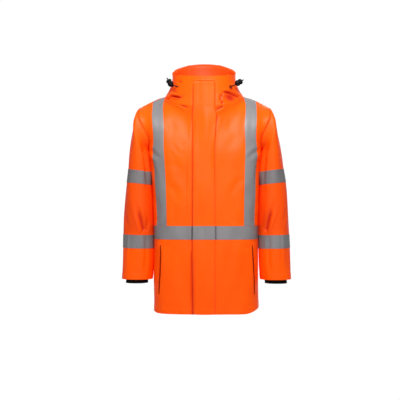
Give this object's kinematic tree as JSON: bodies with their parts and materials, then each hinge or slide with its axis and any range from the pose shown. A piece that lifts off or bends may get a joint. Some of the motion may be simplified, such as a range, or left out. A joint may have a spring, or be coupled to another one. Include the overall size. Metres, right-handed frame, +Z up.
{
  "type": "work jacket",
  "caption": "Hooded high-visibility work jacket, fastened and filled out, with reflective bands, a storm flap over the zip, black inner cuffs and hood drawcord toggles.",
  "frame": {"origin": "middle of the neck opening at shoulder height, where the wearer's shoulders or a hanger hold it", "axes": "+Z up from hem to hood, +Y towards the back, +X towards the wearer's left sleeve"},
  "size_m": [0.641, 0.3629, 0.9542],
  "materials": {
    "shell_cloth": "fluorescent orange coated cloth, semi-matt with a soft sheen",
    "reflective_tape": "grey retroreflective band, satin",
    "cuff_cloth": "black matt cuff cloth",
    "zip": "black zip tape with moulded chain",
    "toggle": "black moulded plastic",
    "eyelet": "black enamelled",
    "cord": "black braided cord"
  },
  "bodies": {
    "root": {"back": "shell_cloth", "brace_tape_left": "reflective_tape", "brace_tape_right": "reflective_tape", "chest_pocket_welt": "shell_cloth", "cord_left": "cord", "cord_right": "cord", "cuff_left": "cuff_cloth", "cuff_right": "cuff_cloth", "eyelet_left": "eyelet", "eyelet_right": "eyelet", "flap_tape": "reflective_tape", "front_left": "shell_cloth", "front_right": "shell_cloth", "front_zip": "zip", "hood_centre": "shell_cloth", "hood_side_left": "shell_cloth", "hood_side_right": "shell_cloth", "pocket_welt_left": "shell_cloth", "pocket_welt_right": "shell_cloth", "sleeve_left": "shell_cloth", "sleeve_right": "shell_cloth", "sleeve_tape_lower_left": "reflective_tape", "sleeve_tape_lower_right": "reflective_tape", "sleeve_tape_upper_left": "reflective_tape", "sleeve_tape_upper_right": "reflective_tape", "storm_flap": "shell_cloth", "toggle_left": "toggle", "toggle_right": "toggle", "waist_tape": "reflective_tape"}
  },
  "joints": []
}
